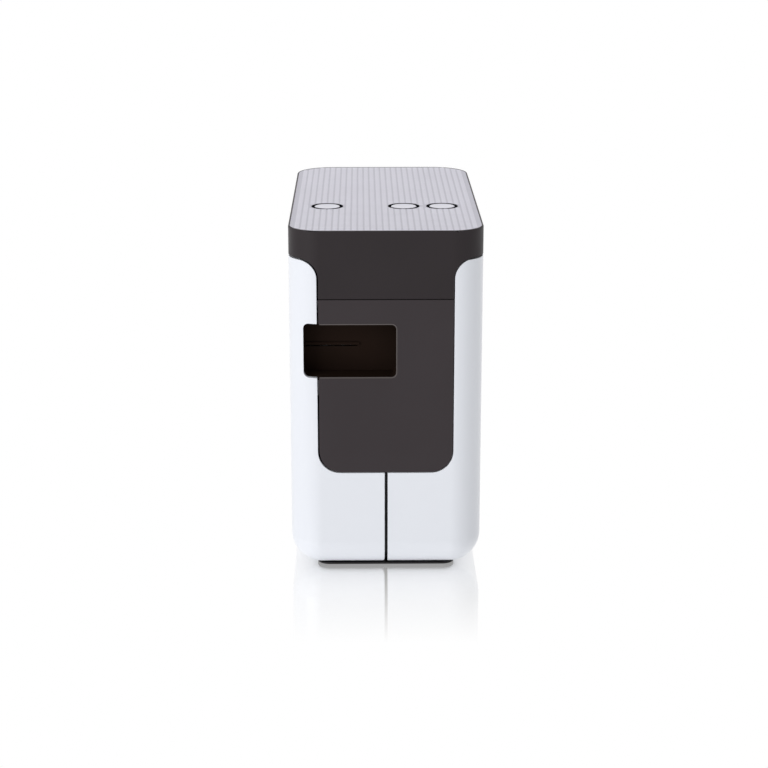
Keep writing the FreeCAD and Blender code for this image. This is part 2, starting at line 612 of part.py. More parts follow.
def make_frame():
    plate = padded("frame_plate", "yz", [
        ("frame_front", "tray_top + 0.2"), ("frame_back", "tray_top + 0.2"), ("frame_back", "frame_top"),
        ("frame_front", "frame_top")], "frame_right - frame_left", x="frame_left")
    cable_window = box("cable_window", ("frame_left - 1", "frame_right + 1"), (24, 26.3), (53, 63))
    through = "frame_right - frame_left + 2"
    shaft_holes = [
        rod(f"frame_hole_{name}", "x", ("frame_left - 1", y, z), "shaft_radius + pin_clearance", through)
        for name, y, z in (("drive", "platen_y", DRIVE_Z), ("feed", "pinch_y", FEED_Z),
                           ("ribbon", RIBBON_Y, RIBBON_Z))]
    studs = [
        rod(f"frame_socket_{name}", "x", ("frame_left - 1", y, z), "stud_radius", through)
        for name, y, z in (("reduction", REDUCTION_Y, REDUCTION_Z),
                           ("pivot", "holder_pivot_y", "holder_pivot_z"))]
    motor_relief = rod("frame_motor_relief", "x", ("frame_left - 1", MOTOR_Y, MOTOR_Z), 5, through)
    feet = [box(f"frame_foot_{i}", ("frame_right - 0.2", "frame_right + 14"), (y, f"{y} + 10"),
                ("tray_top + 0.2", "tray_top + 2.4")) for i, y in enumerate((-50, 44))]
    board_posts = [
        rod(f"frame_post_{i}", "x", ("frame_right - 0.2", y, z), 2.6, "board_left - frame_right + 0.2")
        for i, (y, z) in enumerate(BOARD_POSTS)]
    ear = box("spring_ledge", ("frame_left - 8", "frame_left + 0.2"), (-12, -2), (97.4, 98.6))
    subpart("main_frame", cut("main_frame", join("frame_joined", plate, *feet, *board_posts, ear),
                              cable_window, *shaft_holes, *studs, motor_relief))

    pins = [
        turned("reduction_stud", "x", ("frame_left", REDUCTION_Y, REDUCTION_Z),
               [(0, 0), (0, "stud_radius"), (10.6, "stud_radius"), (10.6, 2.4), (11.2, 2.4), (11.2, 0)]),
        rod("holder_pin", "x", ("bay_left + bay_face + 0.2", "holder_pivot_y", "holder_pivot_z"),
            "stud_radius", "frame_right - bay_left - bay_face - 0.2"),
    ]
    subpart("frame_pins", bundle("frame_pins", *pins))


def make_cassette_bay():
    """The dark tub round the cassette, with a face that shows when the door is open."""
    face = box("bay_face_plate", ("bay_left", "bay_left + bay_face"), (-61, 50), (23, 128))
    opening = box("bay_opening", ("bay_left - 1", "bay_left + bay_face + 1"), (-57, 29), (24 - 0.6, 116))
    tub_outer = box("tub_outer", ("bay_left + 0.2", "frame_left"), (-58.4, 30.4), ("tray_top + 0.3", 117.4))
    tub_inner = box("tub_inner", ("bay_left - 1", "frame_left + 1"), (-57, 29), (23.4, 116))
    front_window = box("tub_front_window", ("bay_left - 1", "frame_left + 1"), (-60, -50), (78, 112))
    subpart("cassette_bay", cut("cassette_bay", join("bay_joined", cut("face_cut", face, opening),
                                                    cut("tub_cut", tub_outer, tub_inner)), front_window))


def make_cassette():
    head_low, head_back, head_front = 51, -30.5, -44.5
    profile = [
        ("cassette_front", "cassette_bottom + 34"), ("cassette_front + 8", "cassette_bottom"),
        ("cassette_back", "cassette_bottom"), ("cassette_back", "cassette_top - 6"),
        ("cassette_back - 6", "cassette_top"), (head_back, "cassette_top"), (head_back, head_low),
        (head_front, head_low), (head_front, "tape_height - 0.4"), ("cassette_front", "tape_height - 0.4")]
    block = padded("cassette_block", "yz", profile, "cassette_right - cassette_left - 1.5",
                   x="cassette_left + 1.5")
    left = "cassette_left - 1"
    inside, across = f"cassette_right - cassette_wall - ({left})", 40
    wells = [rod(name, "x", (left, y, z), radius, length) for name, y, z, radius, length in (
        ("well_tape", "tape_reel_y", "tape_reel_z", "tape_reel_radius + 1", inside),
        ("well_film", "film_reel_y", "film_reel_z", "film_reel_radius + 0.8", inside),
        ("well_ribbon", "ribbon_reel_y", "ribbon_reel_z", "ribbon_reel_radius + 0.8", inside),
        ("well_takeup", RIBBON_Y, RIBBON_Z, "takeup_radius + 0.6", inside),
        ("well_feed", "pinch_y", FEED_Z, "feed_roller_radius + 0.5", inside),
        ("hole_takeup", RIBBON_Y, RIBBON_Z, 3.4, across),
        ("hole_feed", "pinch_y", FEED_Z, 3.0, across))]
    core_left = "cassette_right - cassette_wall - 2"
    cores = [rod(f"core_{name}", "x", (core_left, y, z), radius, 2.2) for name, y, z, radius in (
        ("tape", "tape_reel_y", "tape_reel_z", 4), ("film", "film_reel_y", "film_reel_z", 3),
        ("ribbon", "ribbon_reel_y", "ribbon_reel_z", 2.2))]
    subpart("cassette_case", join("cassette_case", cut("cassette_hollow", block, *wells), *cores))
    subpart("cassette_lid", padded("lid_block", "yz", profile, 1.5, x="cassette_left"))

    reel_left, reel_right = "cassette_left + 2.2", "cassette_right - cassette_wall - 2.4"
    for node, y, z, radius, hub in (
            ("tape_reel", "tape_reel_y", "tape_reel_z", "tape_reel_radius", 8),
            ("film_reel", "film_reel_y", "film_reel_z", "film_reel_radius", 5),
            ("ribbon_reel", "ribbon_reel_y", "ribbon_reel_z", "ribbon_reel_radius", 4)):
        width = f"({reel_right}) - ({reel_left})"
        subpart(node, turned(node, "x", (reel_left, y, z), [
            (0, f"{hub} - 2"), (0, radius), (f"{width} - 1.5", radius), (f"{width} - 1.5", hub),
            (width, hub), (width, f"{hub} - 2")]))
    subpart("label_tape", box("label_tape", ("tape_left", "tape_left + tape_width"), (-57.0, -31.5),
                              ("tape_height", "tape_height + tape_thickness")))


# ---------------------------------------------------------------- print unit

def make_print_head():
    web = box("sink_web", (-32, -10.5), (-39, -37), (70, 91.4))
    flange = box("sink_flange", (-32, -10.5), (-42.2, -33.8), (90.4, 91.8))
    foot = box("sink_foot", (-32, "frame_left"), (-39, -37), (64.5, 70.2))
    pad = box("sink_pad", ("frame_left - 1.6", "frame_left"), (-43, -33), (64.5, 72))
    subpart("heat_sink", join("heat_sink", web, flange, foot, pad))
    plate = box("head_plate", (-31.5, -11), (-42, -34), (91.8, 92.9))
    line = rod("head_line", "x", (-31, -38, 92.9), 0.4, 19)
    subpart("print_head", join("print_head", plate, line))
    cable = [
        box("cable_rise", (-27, -15), (-36.9, -36.6), (54, 90)),
        box("cable_cross", (-27, "frame_left - 0.3"), (-36.9, -36.6), (54, 62)),
        box("cable_run", ("frame_left - 0.6", "frame_left - 0.3"), (-36.9, 25.3), (54, 62)),
        box("cable_end", ("frame_left - 0.6", "board_left - 4.5"), (25, 25.3), (54, 62)),
    ]
    subpart("head_cable", join("head_cable", *cable))


def make_platen_holder():
    """The arm that carries the platen and the pinch roller over the tape."""
    left, right, top = -33.2, -9.8, 107
    cheeks = []
    for name, x in (("left", left), ("right", right)):
        cheek = padded(f"cheek_{name}", "yz", [
            (-54.5, 95.2), (-33, 95.2), (-29, 99.5), (14, 100), (16, 104), (14, 108), (-54.5, 108)],
            "cheek_thickness", x=x)
        cheeks.append(cheek)
    web = box("holder_web", (left, f"{right} + cheek_thickness"), (-54.5, 13), (top, 108.2))
    bores = [rod(f"holder_{name}_bore", "x", (left - 1, y, z), f"{radius} + pin_clearance", 30)
             for name, y, z, radius in (
                 ("platen", "platen_y", PLATEN_Z, "platen_shaft_radius"),
                 ("pinch", "pinch_y", PINCH_Z, "axle_radius"),
                 ("pivot", "holder_pivot_y", "holder_pivot_z", "stud_radius"))]
    bored = cut("holder_bored", join("holder_joined", *cheeks, web), *bores)
    idler_stud = rod("idler_stud", "x", (right + 1.1, IDLER_Y, IDLER_Z), "axle_radius", 2.9)
    subpart("platen_holder", join("platen_holder", bored, idler_stud))

    roller = turned("platen_roller", "x", (-31.6, "platen_y", PLATEN_Z), [
        (0, "platen_shaft_radius"), (0, "platen_radius - 0.3"), (0.3, "platen_radius"),
        (19.7, "platen_radius"), (20, "platen_radius - 0.3"), (20, "platen_shaft_radius")])
    subpart("platen_roller", roller)
    subpart("pinch_roller", turned("pinch_roller", "x", (-33.6, "pinch_y", PINCH_Z), [
        (0, 0), (0, "axle_radius"), (2.2, "axle_radius"), (2.2, "pinch_radius"), (21.8, "pinch_radius"),
        (21.8, "axle_radius"), (27.4, "axle_radius"), (27.4, 0)]))

    coil_radius, wire_radius, turns, low, high = 2.4, 0.3, 6, 98.9, 106.6
    height = high - low
    helix = Part.makeHelix(height/turns, height, coil_radius)
    ring = Part.Wire([Part.makeCircle(wire_radius, Vector(coil_radius, 0, 0), Vector(0, 1, 0))])
    coil = Part.Wire(helix).makePipeShell([ring], True, True)
    spring = feature("holder_spring", coil)
    subpart("holder_spring", place(spring, "frame_left - 4.8 - 3.0", -7, low))


def crossed_fins(length, span, thickness, start):
    """Two crossed blades along a spindle's axis, which turn a reel by its socket."""
    return [Part.makeBox(length, span, thickness, Vector(start, -span/2, -thickness/2)),
            Part.makeBox(length, thickness, span, Vector(start, -thickness/2, -span/2))]


def cross_socket(span):
    """The space for a spindle and its fins, through a reel or a roller."""
    clear, length, start = 1.2, 24, -1
    return shaft_solid(size["shaft_radius"] + 0.2, start, start + length).multiFuse(
        crossed_fins(length, span, clear, start))


def make_gears(phase):
    """The train in two layers: one right of the frame, and one left of it beside the arm's gears."""
    layer_start, layer_width = -1.5, 3.0
    arm_start, arm_width = -8.4, 2.4
    shaft, axle, fin = size["shaft_radius"], size["axle_radius"], 0.8
    drive = gear_solid(size["drive_teeth"], phase["drive"], layer_width, layer_start).fuse(
        shaft_solid(shaft, -5.0, 2.2))
    pinch_drive = gear_solid(size["pinch_drive_teeth"], phase["pinch_drive"], 2.6, -8.5).cut(
        shaft_solid(shaft, -10, 2.0))
    pinch = gear_solid(size["pinch_teeth"], phase["pinch"], arm_width, arm_start).cut(
        shaft_solid(axle, -10, -5))
    idler = gear_solid(size["idler_teeth"], phase["idler"], 2.2, -8.3).cut(
        shaft_solid(axle + size["pin_clearance"], -10, -5))
    platen = gear_solid(size["platen_teeth"], phase["platen"], arm_width, arm_start).fuse(
        shaft_solid(size["platen_shaft_radius"], -33.6, -6))
    feed = gear_solid(size["feed_teeth"], phase["feed"], layer_width, layer_start).fuse(
        shaft_solid(shaft, -32, 0)).multiFuse(crossed_fins(19.8, 5.0, fin, -32))
    ribbon = gear_solid(size["ribbon_teeth"], phase["ribbon"], layer_width, layer_start).fuse(
        shaft_solid(shaft, -31, 0)).multiFuse(crossed_fins(18, 5.6, fin, -31))
    reduction = gear_solid(size["reduction_teeth"], phase["reduction"], 2.6, 2.6).fuse(
        gear_solid(size["reduction_pinion_teeth"], phase["reduction_pinion"], 4.4, -1.6)).cut(
        shaft_solid(size["stud_radius"] + size["pin_clearance"], -3, 7))
    motor = gear_solid(size["motor_teeth"], phase["motor"], 3.4, 2.2).fuse(shaft_solid(1.0, 2.2, 8.0))
    for node, shape, y, z in (
            ("feed_drive_gear", drive, "platen_y", DRIVE_Z),
            ("pinch_drive_gear", pinch_drive, "pinch_y", FEED_Z),
            ("pinch_gear", pinch, "pinch_y", PINCH_Z),
            ("platen_idler", idler, IDLER_Y, IDLER_Z),
            ("platen_gear", platen, "platen_y", PLATEN_Z),
            ("feed_spindle", feed, "pinch_y", FEED_Z),
            ("ribbon_spindle", ribbon, RIBBON_Y, RIBBON_Z),
            ("reduction_gear", reduction, REDUCTION_Y, REDUCTION_Z),
            ("motor_pinion", motor, MOTOR_Y, MOTOR_Z)):
        subpart(node, place(feature(node, shape.removeSplitter()), 0, y, z))

    roller = shaft_solid(size["feed_roller_radius"], 0, 19.6).cut(cross_socket(5.4))
    subpart("cassette_feed_roller", place(feature("cassette_feed_roller", roller), -31.6, "pinch_y", FEED_Z))
    reel = shaft_solid(4.4, 0, 20).fuse(shaft_solid(size["takeup_radius"], 0, 1)).fuse(
        shaft_solid(size["takeup_radius"] - 1, 1, 17)).cut(cross_socket(6.0))
    subpart("ribbon_takeup_reel", place(feature("ribbon_takeup_reel", reel), -31.4, RIBBON_Y, RIBBON_Z))


def make_feed_motor():
    can = turned("motor_can", "x", (8.4, MOTOR_Y, MOTOR_Z), [
        (0, 0), (0, 12.0), (0.5, 12.5), (17.5, 12.5), (18, 12.0), (18, 0)])
    boss = rod("motor_boss", "x", (6.9, MOTOR_Y, MOTOR_Z), 3.5, 1.6)
    ears = box("motor_ears", (7.4, 8.6), (f"{MOTOR_Y} - 17", f"{MOTOR_Y} + 17"),
               (f"{MOTOR_Z} - 4", f"{MOTOR_Z} + 4"))
    bore = rod("motor_bore", "x", (6, MOTOR_Y, MOTOR_Z), 1.06, 2.2)
    subpart("feed_motor", cut("feed_motor", join("motor_joined", can, boss, ears), bore))
    plate = box("bracket_plate", (6.2, 7.4), (-62, -22), (40, 71.5))
    legs = [box(f"bracket_leg_{i}", ("frame_right", 7.4), (y, f"{y} + 1.2"), (40, 54))
            for i, y in enumerate((-53.8, -23.2))]
    hole = rod("bracket_hole", "x", (5, MOTOR_Y, MOTOR_Z), 5.0, 4)
    subpart("motor_bracket", cut("motor_bracket", join("bracket_joined", plate, *legs), hole))


# ---------------------------------------------------------------- cutter

def make_cutter():
    """A fixed blade, and a blade on a geared lever that swings down past it."""
    back = size["cutter_back"]
    thick = size["blade_thickness"]
    sheet_block = box("cutter_sheet", (-33.5, 33), (-61.4, -60.2), (72, 112))
    slot = box("cutter_slot", ("tape_left - 1.5", "tape_left + tape_width + 1.5"), (-63, -58), (91.6, 97))
    corner = box("cutter_corner", (-34, -27), (-63, -58), (106.4, 114))
    pivot = rod("cutter_pivot", "y", ("cutter_x", -60.4, "cutter_z"), 1.8, 4.4)
    tie = box("cutter_tie", (6, 30), (-60.4, "frame_front + 12"), (98, 99.2))
    sheet_cut = cut("cutter_sheet_cut", sheet_block, slot, corner)
    subpart("cutter_frame", join("cutter_frame", sheet_cut, pivot, tie))
    subpart("fixed_blade", box("fixed_blade", (-32.5, -8), (-60.2, -59.4), (84, 92.9)))

    # the lever in its raised pose, in the plane across Y, about its pivot
    raise_angle = math.radians(21)
    edge = [(-4, 2.2), (-36.5, 2.2), (-36.5, 8.0), (-6, 10.5), (0, 6.5)]

    def lifted(u, v):
        return Vector(u*math.cos(raise_angle) + v*math.sin(raise_angle), 0,
                      -u*math.sin(raise_angle) + v*math.cos(raise_angle))
    blade_points = [lifted(u, v) for u, v in edge]
    blade = Part.Face(Part.makePolygon(blade_points + blade_points[:1])).extrude(Vector(0, thick, 0))
    hub = Part.makeCylinder(6.6, thick, Vector(0, 0, 0), Vector(0, 1, 0))
    pitch = size["sector_teeth"]*size["gear_module"]/2
    whole = gear_solid(size["sector_teeth"], 0, thick, 0, across_y)
    wedge_points = [Vector(0, 0, 0)] + [
        Vector(60*math.cos(a), 0, 60*math.sin(a)) for a in (math.radians(-62), math.radians(-18))]
    wedge = Part.Face(Part.makePolygon(wedge_points + wedge_points[:1])).extrude(Vector(0, thick, 0))
    window = Part.makeCylinder(pitch - 6, thick + 2, Vector(0, -1, 0), Vector(0, 1, 0)).cut(
        Part.makeCylinder(8.5, thick + 2, Vector(0, -1, 0), Vector(0, 1, 0)))
    slit = wedge.common(window)
    spoke_points = [Vector(0, 0, 0)] + [
        Vector(40*math.cos(a), 0, 40*math.sin(a)) for a in (math.radians(-47), math.radians(-33))]
    spoke = Part.Face(Part.makePolygon(spoke_points + spoke_points[:1])).extrude(Vector(0, thick, 0))
    sector = whole.common(wedge).cut(slit.cut(spoke))
    lever = blade.multiFuse([hub, sector]).cut(
        Part.makeCylinder(1.86, thick + 2, Vector(0, -1, 0), Vector(0, 1, 0))).removeSplitter()
    subpart("cutter_blade", place(feature("cutter_blade", lever), "cutter_x", back - thick - 0.9, "cutter_z"))

    phase = meshing(size["sector_teeth"], 0, size["cutter_bearing"], size["cutter_pinion_teeth"])
    pinion = gear_solid(size["cutter_pinion_teeth"], phase, 2.0, 0, across_y).fuse(
        Part.makeCylinder(1.5, 3.6, Vector(0, 0, 0), Vector(0, 1, 0)))
    subpart("cutter_pinion", place(feature("cutter_pinion", pinion), CUTTER_PINION_X, back - thick - 1.6,
                                   CUTTER_PINION_Z))
    body = turned("gearmotor_body", "y", (CUTTER_PINION_X, back + 0.4, CUTTER_PINION_Z), [
        (1.8, 0), (1.8, 1.56), (0, 1.56), (0, 9.5), (0.5, 10), (24, 10), (24, 9.6), (42, 9.6), (42.5, 9.1),
        (42.5, 2), (44, 2), (44, 0)])
    subpart("cutter_gearmotor", body)


# ---------------------------------------------------------------- buttons and boards

def make_buttons():
    low = "board_top + switch_height + button_travel + 0.1"
    flange_low, flange_top, rim = (f"body_height - {below} - ({low})" for below in (4.6, 3.4, 0.3))
    top, flange = f"body_height - ({low})", "button_radius + 0.9"
    for key, x in button_places():
        subpart(f"{key}_button", turned(f"{key}_button", "z", (x, "button_y", low), [
            (0, 0), (0, 1.6), (flange_low, 1.6), (flange_low, flange), (flange_top, flange),
            (flange_top, "button_radius"), (rim, "button_radius"), (top, "button_radius - 0.3"), (top, 0)]))
    subpart("button_board", box("button_board", (-31, 31), (-31, -15),
                                ("board_top - board_thickness", "board_top")))
    switches = []
    for key, x in button_places():
        base = box(f"{key}_switch_base", (f"{x} - 3", f"{x} + 3"), ("button_y - 3", "button_y + 3"),
                   ("board_top", "board_top + switch_height - 1"))
        plunger = rod(f"{key}_switch_plunger", "z", (x, "button_y", "board_top + switch_height - 1"), 1.5, 1)
        switches.append(join(f"{key}_switch", base, plunger))
    subpart("tact_switches", bundle("tact_switches", *switches))


def make_boards():
    subpart("main_board", box("main_board", ("board_left", "board_right"), ("board_front", "board_back"),
                              ("board_low", "board_high")))
    chips = [
        box(f"chip_{i}", (f"board_left - {tall}", "board_left"), (y, f"{y} + {wide}"), (z, f"{z} + {high}"))
        for i, (y, z, wide, high, tall) in enumerate((
            (20, 72, 14, 14, 1.4), (42, 78, 10, 12, 1.2), (22, 96, 8, 5, 1.6), (40, 98, 12, 8, 3.2),
            (30, 51, 14, 14, 2.2), (22.6, 53, 5, 10, 4.5), (8, 44, 8, 6, 5)))]
    cans = [rod(f"capacitor_{i}", "x", (f"board_left - {tall}", y, z), radius, tall)
            for i, (y, z, radius, tall) in enumerate(((48, 62, 4.0, 9), (38, 66, 3.1, 7), (50, 36, 4.0, 10)))]
    subpart("board_components", bundle("board_components", *chips, *cans))

    usb_body = box("usb_body", ("board_left - 4.4", "board_left"), (66.5, 75.2),
                   ("usb_z - 3.85", "usb_z + 3.85"))
    usb_mouth = box("usb_mouth", ("board_left - 3.9", "board_left - 0.9"), (68.5, 77),
                    ("usb_z - 3.35", "usb_z + 3.35"))
    tongue = box("usb_tongue", ("board_left - 2.7", "board_left - 2.0"), (68, 74.4),
                 ("usb_z - 2.3", "usb_z + 2.3"))
    subpart("usb_port", join("usb_port", cut("usb_shell", usb_body, usb_mouth), tongue))
    jack_body = box("jack_body", ("jack_x - 4.4", "board_left"), (62, 73.4), ("jack_z - 4.4", "jack_z + 4.4"))
    jack_nose = rod("jack_nose", "y", ("jack_x", 73.2, "jack_z"), 4.1, 2.2)
    jack_bore = rod("jack_bore", "y", ("jack_x", 66, "jack_z"), 2.8, 12)
    jack_pin = rod("jack_pin", "y", ("jack_x", 65.8, "jack_z"), 0.85, 8.4)
    shell = cut("jack_shell", join("jack_solid", jack_body, jack_nose), jack_bore)
    subpart("dc_jack", join("dc_jack", shell, jack_pin))


def make_door_inside(inner):
    liner = box("liner_plate", (-36.7, -35.6), (-48, 46), (16, 124))
    grooves = [box(f"liner_groove_{i}", (-36, -35), (-40, 38), (f"30 + {i}*14", f"31 + {i}*14"))
               for i in range(6)]
    finger = box("liner_finger", (-35.8, -31), (-20, -14), (108.4, 111.4))
    subpart("door_liner", join("door_liner", cut("liner_grooved", liner, *grooves), finger))
    tongue = box("latch_tongue", (-29.5, -24.2), (-73.3, -72.1), (58, 66))
    root = box("latch_root", (-30.5, -28.2), (-73.9, -71), (57, 67))
    subpart("door_latch", common("door_latch", join("latch_joined", tongue, root), inner))


def make_screws():
    screws = []
    places = [(f"{sx}*12", f"{sy}*59", "base_bottom + 1.2") for sx in (-1, 1) for sy in (-1, 1)]
    for i, start in enumerate(places):
        screws.append(turned(f"base_screw_{i}", "z", start, [
            (0, 0), (0, 1.4), (0.9, 1.4), (0.9, 1.0), (8, 1.0), (8.6, 0.3), (8.6, 0)]))
    for i, (y, z) in enumerate(BOARD_POSTS):
        screws.append(turned(f"board_screw_{i}", "x", ("board_right", y, z), [
            (0, 0), (0, 2.4), (0.9, 2.4), (1.4, 1.6), (1.4, 0)]))
    subpart("screws", bundle("screws", *screws))


def export():
    doc.recompute()
    faults = [thing.Label for thing in doc.Objects if "Invalid" in thing.State or "Error" in thing.State]
    for node, thing in subparts.items():
        shape = thing.Shape
        if shape.isNull() or not shape.isValid() or not shape.Solids:
            faults.append(node)
    if faults:
        raise SystemExit(f"these objects failed: {sorted(set(faults))}")
    os.makedirs("parts", exist_ok=True)
    for node, thing in subparts.items():
        thing.Shape.exportStep(os.path.join("parts", node + ".step"))
    print(len(subparts), "sub-parts written")


housing_inside = make_housing()
make_exit_chute()
make_base()
make_battery_bay()
make_frame()
make_cassette_bay()
make_cassette()
make_print_head()
make_platen_holder()
make_gears(gear_phases())
make_feed_motor()
make_cutter()
make_buttons()
make_boards()
make_door_inside(housing_inside)
make_screws()
export()
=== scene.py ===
"""Looks for the desktop label maker: softened shells, a textured top plate, and materials for every piece."""
import json
import math

import bmesh
import bpy
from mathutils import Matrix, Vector
from mathutils.bvhtree import BVHTree


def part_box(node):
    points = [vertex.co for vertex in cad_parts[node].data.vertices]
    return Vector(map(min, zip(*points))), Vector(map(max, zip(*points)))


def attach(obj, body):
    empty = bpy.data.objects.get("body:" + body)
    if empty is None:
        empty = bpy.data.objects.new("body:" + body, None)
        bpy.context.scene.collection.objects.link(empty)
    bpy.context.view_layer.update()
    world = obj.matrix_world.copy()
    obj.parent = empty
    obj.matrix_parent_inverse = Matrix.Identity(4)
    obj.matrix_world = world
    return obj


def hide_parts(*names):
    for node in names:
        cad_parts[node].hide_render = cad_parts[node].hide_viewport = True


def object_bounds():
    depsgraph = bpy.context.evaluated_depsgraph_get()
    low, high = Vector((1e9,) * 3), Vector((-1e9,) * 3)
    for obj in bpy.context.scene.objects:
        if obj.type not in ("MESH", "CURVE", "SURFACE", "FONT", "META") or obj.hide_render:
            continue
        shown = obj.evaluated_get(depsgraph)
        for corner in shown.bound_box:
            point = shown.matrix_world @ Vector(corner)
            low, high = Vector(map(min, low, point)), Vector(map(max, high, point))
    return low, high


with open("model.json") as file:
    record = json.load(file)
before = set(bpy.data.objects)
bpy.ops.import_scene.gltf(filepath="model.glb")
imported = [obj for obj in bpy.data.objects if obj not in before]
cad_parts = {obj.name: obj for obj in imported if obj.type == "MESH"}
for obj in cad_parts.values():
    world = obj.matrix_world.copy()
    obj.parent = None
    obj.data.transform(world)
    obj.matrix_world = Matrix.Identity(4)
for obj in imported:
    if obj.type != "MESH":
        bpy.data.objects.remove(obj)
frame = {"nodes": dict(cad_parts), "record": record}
nodes = frame["nodes"]
cad_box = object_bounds()

MM = 0.001
body_of = {node: body for body, members in frame["record"]["behaviour"]["bodies"].items() for node in members}
slot_of = {entry["node"]: entry["material_slot"] for entry in frame["record"]["subparts"]}


# ---------------------------------------------------------------- shader helpers

def new_material(name, color, roughness, metallic=0.0, specular=0.5):
    """A material with a principled shader, and its node tree's parts to build on."""
    material = bpy.data.materials.new(name)
    material.use_nodes = True
    tree = material.node_tree
    shader = next(n for n in tree.nodes if n.type == "BSDF_PRINCIPLED")
    shader.inputs["Base Color"].default_value = (*color, 1)
    shader.inputs["Roughness"].default_value = roughness
    shader.inputs["Metallic"].default_value = metallic
    shader.inputs["Specular IOR Level"].default_value = specular
    return material, tree, shader


def math_node(tree, operation, first, second=None):
    """A Math node. Each input is a number or another node's output."""
    node = tree.nodes.new("ShaderNodeMath")
    node.operation = operation
    for socket, value in zip(node.inputs, (first, second)):
        if isinstance(value, (int, float)):
            socket.default_value = value
        elif value is not None:
            tree.links.new(value, socket)
    return node.outputs[0]


def object_coordinates(tree):
    return tree.nodes.new("ShaderNodeTexCoord").outputs["Object"]


def axes_of(tree, coordinates):
    node = tree.nodes.new("ShaderNodeSeparateXYZ")
    tree.links.new(coordinates, node.inputs[0])
    return node.outputs["X"], node.outputs["Y"], node.outputs["Z"]


def noise(tree, scale, detail, coordinates, stretch=None):
    """A noise value over the object's own coordinates, which are metres."""
    texture = tree.nodes.new("ShaderNodeTexNoise")
    texture.inputs["Scale"].default_value = scale
    texture.inputs["Detail"].default_value = detail
    if stretch:
        mapping = tree.nodes.new("ShaderNodeMapping")
        mapping.inputs["Scale"].default_value = stretch
        tree.links.new(coordinates, mapping.inputs["Vector"])
        coordinates = mapping.outputs["Vector"]
    tree.links.new(coordinates, texture.inputs["Vector"])
    return texture.outputs["Fac"]


def ramp(tree, value, stops):
    """Colours between stops of (position, colour)."""
    node = tree.nodes.new("ShaderNodeValToRGB")
    elements = node.color_ramp.elements
    while len(elements) < len(stops):
        elements.new(0.5)
    for element, (position, color) in zip(elements, stops):
        element.position = position
        element.color = (*color, 1)
    tree.links.new(value, node.inputs["Fac"])
    return node.outputs["Color"]


def between(tree, value, low, high):
    node = tree.nodes.new("ShaderNodeMapRange")
    node.inputs["To Min"].default_value = low
    node.inputs["To Max"].default_value = high
    tree.links.new(value, node.inputs["Value"])
    return node.outputs["Result"]


def bump(tree, shader, height, distance, strength=0.5):
    node = tree.nodes.new("ShaderNodeBump")
    node.inputs["Strength"].default_value = strength
    node.inputs["Distance"].default_value = distance
    tree.links.new(height, node.inputs["Height"])
    tree.links.new(node.outputs["Normal"], shader.inputs["Normal"])


def mixed_over(tree, shader, color, factor):
    """Lays a colour over the base colour that is linked so far, by a factor."""
    node = tree.nodes.new("ShaderNodeMix")
    node.data_type = "RGBA"
    socket = shader.inputs["Base Color"]
    if socket.links:
        tree.links.new(socket.links[0].from_socket, node.inputs[6])
    else:
        node.inputs[6].default_value = socket.default_value
    if isinstance(color, tuple):
        node.inputs[7].default_value = (*color, 1)
    else:
        tree.links.new(color, node.inputs[7])
    tree.links.new(factor, node.inputs[0])
    tree.links.new(node.outputs[2], socket)


# ---------------------------------------------------------------- materials

def moulded(name, color, roughness, variation=0.04, grain=4500, depth=6e-6, specular=0.5, coat=0.0,
            uneven=0.2):
    """Moulded plastic: fine spark texture, a slow colour drift, faint scuffs and uneven gloss."""
    material, tree, shader = new_material(name, color, roughness, specular=specular)
    place = object_coordinates(tree)
    drift = noise(tree, 38, 4.0, place)
    low = tuple(c*(1 - variation) for c in color)
    high = tuple(min(1.0, c*(1 + variation)) for c in color)
    tree.links.new(ramp(tree, drift, [(0.3, low), (0.7, high)]), shader.inputs["Base Color"])
    patchy = noise(tree, 160, 5.0, place)
    scuffs = noise(tree, 420, 6.0, place, stretch=(1, 1, 0.08))
    gloss = math_node(tree, "ADD", math_node(tree, "MULTIPLY", patchy, 0.7),
                      math_node(tree, "MULTIPLY", scuffs, 0.3))
    tree.links.new(between(tree, gloss, roughness*(1 - uneven), min(1.0, roughness*(1 + uneven))),
                   shader.inputs["Roughness"])
    bump(tree, shader, noise(tree, grain, 2.0, place), depth)
    if coat:
        shader.inputs["Coat Weight"].default_value = coat
        shader.inputs["Coat Roughness"].default_value = 0.12
    return material, tree, shader


def metal(name, color, roughness, stretch=(1, 1, 1), scale=900):
    """Metal with fine scratches drawn out along one axis."""
    material, tree, shader = new_material(name, color, roughness, metallic=1.0)
    place = object_coordinates(tree)
    lines = noise(tree, scale, 6.0, place, stretch=stretch)
    tree.links.new(between(tree, lines, roughness*0.7, min(1.0, roughness*1.5)), shader.inputs["Roughness"])
    worn = tuple(c*0.86 for c in color)
    tree.links.new(ramp(tree, lines, [(0.35, worn), (0.65, color)]), shader.inputs["Base Color"])
    bump(tree, shader, lines, 4e-6, 0.35)
    return material, tree, shader


def board_material():
    """Green solder mask with copper runs under it, and small tinned pads."""
    material, tree, shader = moulded("board", (0.008, 0.075, 0.035), 0.3, 0.12, 1500, 4e-6)
    place = object_coordinates(tree)
    bricks = tree.nodes.new("ShaderNodeTexBrick")
    bricks.inputs["Scale"].default_value = 90
    bricks.inputs["Mortar Size"].default_value = 0.03
    mapping = tree.nodes.new("ShaderNodeMapping")
    mapping.inputs["Rotation"].default_value = (0, math.pi/2, 0)
    tree.links.new(place, mapping.inputs["Vector"])
    tree.links.new(mapping.outputs["Vector"], bricks.inputs["Vector"])
    mixed_over(tree, shader, (0.03, 0.17, 0.07), math_node(tree, "MULTIPLY", bricks.outputs["Fac"], 0.8))
    pads = tree.nodes.new("ShaderNodeTexVoronoi")
    pads.inputs["Scale"].default_value = 260
    tree.links.new(place, pads.inputs["Vector"])
    mixed_over(tree, shader, (0.62, 0.6, 0.55), math_node(tree, "LESS_THAN", pads.outputs["Distance"], 0.13))
    return material


